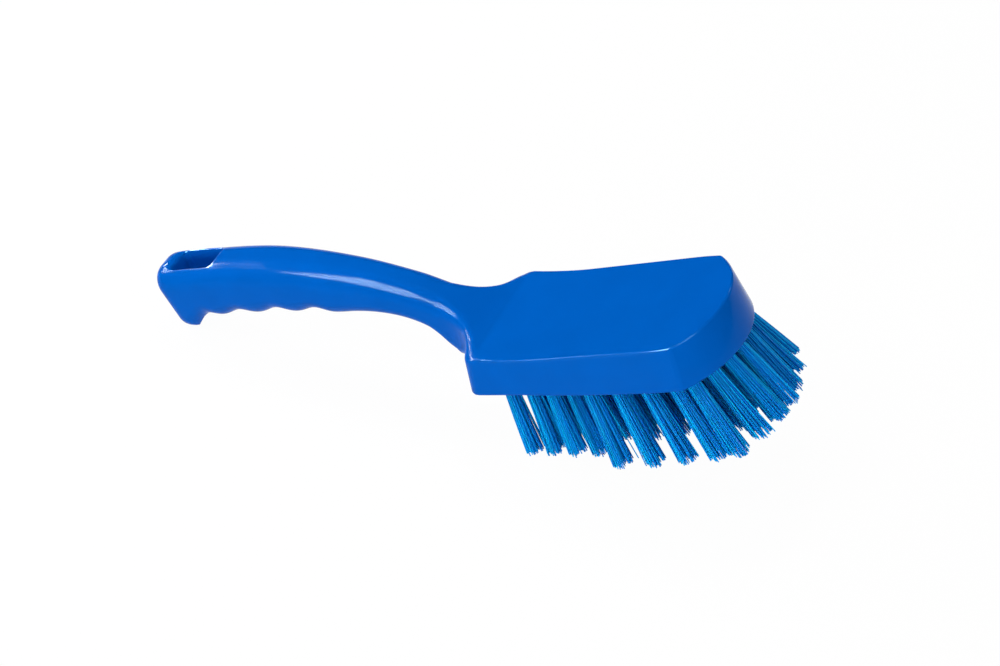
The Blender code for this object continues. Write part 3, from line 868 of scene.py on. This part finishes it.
class HandBrushTuftSettings(bpy.types.PropertyGroup):
    """Shape and looks of the tufts."""

    colour: StringProperty(
        name="Colour", description="Lighter filaments, sRGB hex", default="#00C0FF",
    )
    deep_colour: StringProperty(
        name="Deep colour", description="Darker filaments, sRGB hex", default="#0078DC",
    )
    gloss: FloatProperty(
        name="Gloss", description="Strength of the filaments' highlight",
        default=0.05, min=0.0, max=1.0,
    )
    diameter: FloatProperty(
        name="Diameter", description="Thickness of a filament",
        default=0.54 * MM, min=0.2 * MM, max=1 * MM, unit="LENGTH",
    )
    count: IntProperty(
        name="Count", description="Filaments in each tuft", default=80, min=20, max=150,
    )
    clumps: IntProperty(
        name="Clumps", description="Loose clumps at a tuft's end", default=7, min=2, max=20,
    )
    clumping: FloatProperty(
        name="Clumping", description="How far filaments draw together at their tips",
        default=0.3, min=0.0, max=1.0,
    )
    fan: FloatProperty(
        name="Fan", description="How much further the tips spread than the CAD strands do",
        default=1.0 * MM, min=0.0, max=2 * MM, unit="LENGTH",
    )
    stray: FloatProperty(
        name="Stray", description="How far single tips wander",
        default=0.16 * MM, min=0.0, max=1 * MM, unit="LENGTH",
    )
    sway: FloatProperty(
        name="Sway", description="Bend of a whole tuft",
        default=0.4 * MM, min=0.0, max=2 * MM, unit="LENGTH",
    )
    ragged: FloatProperty(
        name="Ragged ends", description="Unevenness of the trimmed tips",
        default=0.4 * MM, min=0.0, max=2 * MM, unit="LENGTH",
    )


class HandBrushStageSettings(bpy.types.PropertyGroup):
    """Light, floor and camera."""

    lens: FloatProperty(
        name="Lens", description="Focal length on a 36 mm frame", default=90.0, unit="CAMERA",
    )
    light: FloatProperty(
        name="Light", description="Level of all lamps together", default=1.0, min=0.0,
    )
    highlights: FloatProperty(
        name="Highlights", description="Level of the cards that show in the gloss",
        default=1.0, min=0.0,
    )
    surround: FloatProperty(
        name="Surround", description="Level of the light from all round",
        default=0.3, min=0.0, max=1.0,
    )
    backdrop: FloatProperty(
        name="Backdrop", description="Whiteness of the backdrop above the floor",
        default=0.98, min=0.0, max=1.0,
    )
    floor_glow: FloatProperty(
        name="Floor whiteness", description="How much of the floor's white holds in the shadow",
        default=0.97, min=0.0, max=1.0,
    )


# Steps

class HANDBRUSH_OT_body(bpy.types.Operator):
    """Dresses the moulded head and handle."""

    bl_idname = "hand_brush.body"
    bl_label = "Moulded body"

    def execute(self, context):
        settings = context.scene.hand_brush_body
        skin = body_loft()
        slot = slot_cutter(skin, settings.slot_rim)
        body = object_of("moulded_body", skin)
        cut(body, (holes_cutter(), slot))
        keep_in_box(body.data)
        body.data.shade_smooth()
        body.data.set_sharp_from_angle(angle=BODY_EDGE_ANGLE)
        for name, level, tint in (
            ("moulded_polypropylene", settings.gloss, settings.gloss_tint),
            ("polished_polypropylene", settings.edge_gloss, settings.edge_tint),
        ):
            body.data.materials.append(moulded_polypropylene(name, level, tint, settings))
        dress_polished_places(body.data, settings.slot_rim)
        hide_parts("brush_body")
        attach(body, "root")
        return {"FINISHED"}


class HANDBRUSH_OT_tufts(bpy.types.Operator):
    """Dresses every tuft with filaments."""

    bl_idname = "hand_brush.tufts"
    bl_label = "Tufts of filament"

    def execute(self, context):
        settings = context.scene.hand_brush_tufts
        material = drawn_polyester(settings)
        for name, x, y in tuft_places():
            tuft = tuft_of_filaments("filaments_" + name, x, y, settings)
            tuft.data.materials.append(material)
            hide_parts("tuft_" + name)
            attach(tuft, "root")
        return {"FINISHED"}


# Stage

# Half the floor's width, and how far the floor lies under the brush
FLOOR_REACH = 30.0
FLOOR_GAP = 0.2 * MM
SENSOR_WIDTH = 36.0

# The photograph's view in the head's own frame: the camera's place in mm, and the directions of the
# picture's right side, of its lower side and of the look
VIEW_PLACE = (612.825, -806.120, 546.378)
VIEW_RIGHT = (0.84174094, 0.38804354, -0.37535903)
VIEW_DOWN = (-0.07563071, -0.60365186, -0.79365259)
VIEW_AWAY = (-0.53455794, 0.69643855, -0.47877047)

# Lamps and cards round the brush: name, bearing from +X and height in degrees, distance, width and
# height, and how bright the face is. The lamps light the brush, the cards only show in its gloss.
LAMPS = (
    ("key_softbox", -138, 48, 1.1, (0.40, 0.40), 6.6),
    ("left_softbox", 165, 30, 1.0, (0.30, 0.30), 11.0),
    ("back_softbox", 115, 58, 1.1, (0.30, 0.30), 9.5),
    ("front_softbox", -88, 16, 1.6, (0.50, 0.36), 18.0),
    ("right_softbox", -15, 30, 1.6, (0.8, 0.8), 2.6),
)
CARDS = (
    ("key_card", -129, 54.5, 1.1, (0.54, 0.56), 115.0),
    ("left_card", 175.5, 23.7, 1.0, (0.36, 0.22), 65.0),
    ("end_card", 155, 14, 1.0, (0.24, 0.16), 38.0),
    ("edge_card", 185, 38, 1.0, (0.45, 0.14), 9.0),
    ("nose_card", -22, 50, 1.0, (0.30, 0.60), 6.0),
    ("far_card", 77, 37, 1.0, (0.12, 0.09), 5.0),
)


def area_lamp(name, bearing, height, distance, size, radiance):
    """A soft lamp turned to the brush, with the power that gives its face that radiance."""
    lamp = bpy.data.lights.new(name, "AREA")
    lamp.shape = "RECTANGLE"
    lamp.size, lamp.size_y = size
    lamp.energy = radiance * math.pi * size[0] * size[1]
    flat = math.cos(math.radians(height))
    place = Vector((
        flat * math.cos(math.radians(bearing)),
        flat * math.sin(math.radians(bearing)),
        math.sin(math.radians(height)),
    ))
    obj = bpy.data.objects.new(name, lamp)
    obj.location = place * distance
    obj.rotation_euler = (-place).to_track_quat("-Z", "Y").to_euler()
    bpy.context.scene.collection.objects.link(obj)
    return obj


def paper_floor(settings):
    """The sheet of paper that the brush stands on."""
    bm = bmesh.new()
    bmesh.ops.create_grid(bm, x_segments=1, y_segments=1, size=FLOOR_REACH)
    mesh = bpy.data.meshes.new("floor")
    bm.to_mesh(mesh)
    bm.free()
    mesh.materials.append(studio_paper(settings))
    floor = bpy.data.objects.new("floor", mesh)
    floor.location.z = -FLOOR_GAP
    bpy.context.scene.collection.objects.link(floor)
    return floor


def studio_world(settings):
    """Even light from all round, which is seen as a white backdrop."""
    world = bpy.data.worlds.new("studio")
    world.use_nodes = True
    tree = world.node_tree
    tree.nodes.clear()
    level = node(
        tree, "ShaderNodeMapRange", {"To Min": settings.surround, "To Max": settings.backdrop},
        {"Value": (seen_directly(tree), "Value")},
    )
    sky = node(
        tree, "ShaderNodeBackground", {"Color": linear("#FFFFFF")}, {"Strength": (level, "Result")},
    )
    node(tree, "ShaderNodeOutputWorld", links={"Surface": (sky, "Background")})
    return world


def photo_camera(settings):
    """The camera at the photograph's place."""
    camera = bpy.data.cameras.new("photo_view")
    camera.lens = settings.lens
    camera.sensor_width = SENSOR_WIDTH
    view = bpy.data.objects.new("photo_view", camera)
    axes = (Vector(VIEW_RIGHT), -Vector(VIEW_DOWN), -Vector(VIEW_AWAY))
    turn = Matrix(axes).transposed().to_4x4()
    view.matrix_world = POSE @ Matrix.Translation(Vector(VIEW_PLACE) * MM) @ turn
    bpy.context.scene.collection.objects.link(view)
    return view


class HANDBRUSH_OT_stage(bpy.types.Operator):
    """Sets the floor, the light and the camera."""

    bl_idname = "hand_brush.stage"
    bl_label = "Stage"

    def execute(self, context):
        settings = context.scene.hand_brush_stage
        scene = context.scene
        scene.view_settings.view_transform = "Standard"
        paper_floor(settings)
        scene.world = studio_world(settings)
        # The gloss shows the cards and the floor only, as in the photo; nothing is metal or glass
        scene.world.cycles_visibility.glossy = False
        for *face, radiance in LAMPS:
            area_lamp(*face, radiance * settings.light).visible_glossy = False
        for *face, radiance in CARDS:
            area_lamp(*face, radiance * settings.highlights).visible_diffuse = False
        scene.camera = photo_camera(settings)
        return {"FINISHED"}


class HANDBRUSH_PT_panel(bpy.types.Panel):
    """Lists the steps and their settings."""

    bl_idname = "HANDBRUSH_PT_panel"
    bl_label = "Hand brush"
    bl_space_type = "VIEW_3D"
    bl_region_type = "UI"
    bl_category = "Hand brush"

    def draw(self, context):
        steps = (
            ("hand_brush.body", context.scene.hand_brush_body),
            ("hand_brush.tufts", context.scene.hand_brush_tufts),
            ("hand_brush.stage", context.scene.hand_brush_stage),
        )
        for step, settings in steps:
            box = self.layout.box()
            box.operator(step)
            for name in settings.bl_rna.properties.keys():
                if name not in {"rna_type", "name"}:
                    box.prop(settings, name)


GROUPS = {
    "hand_brush_body": HandBrushBodySettings,
    "hand_brush_tufts": HandBrushTuftSettings,
    "hand_brush_stage": HandBrushStageSettings,
}
STEPS = (HANDBRUSH_OT_body, HANDBRUSH_OT_tufts, HANDBRUSH_OT_stage, HANDBRUSH_PT_panel)


def register():
    for name, group in GROUPS.items():
        bpy.utils.register_class(group)
        setattr(bpy.types.Scene, name, PointerProperty(type=group))
    for step in STEPS:
        bpy.utils.register_class(step)


def unregister():
    for step in reversed(STEPS):
        bpy.utils.unregister_class(step)
    for name, group in GROUPS.items():
        delattr(bpy.types.Scene, name)
        bpy.utils.unregister_class(group)


def main():
    register()
    bpy.ops.hand_brush.body()
    bpy.ops.hand_brush.tufts()
    bpy.ops.hand_brush.stage()


if __name__ == "__main__":
    main()
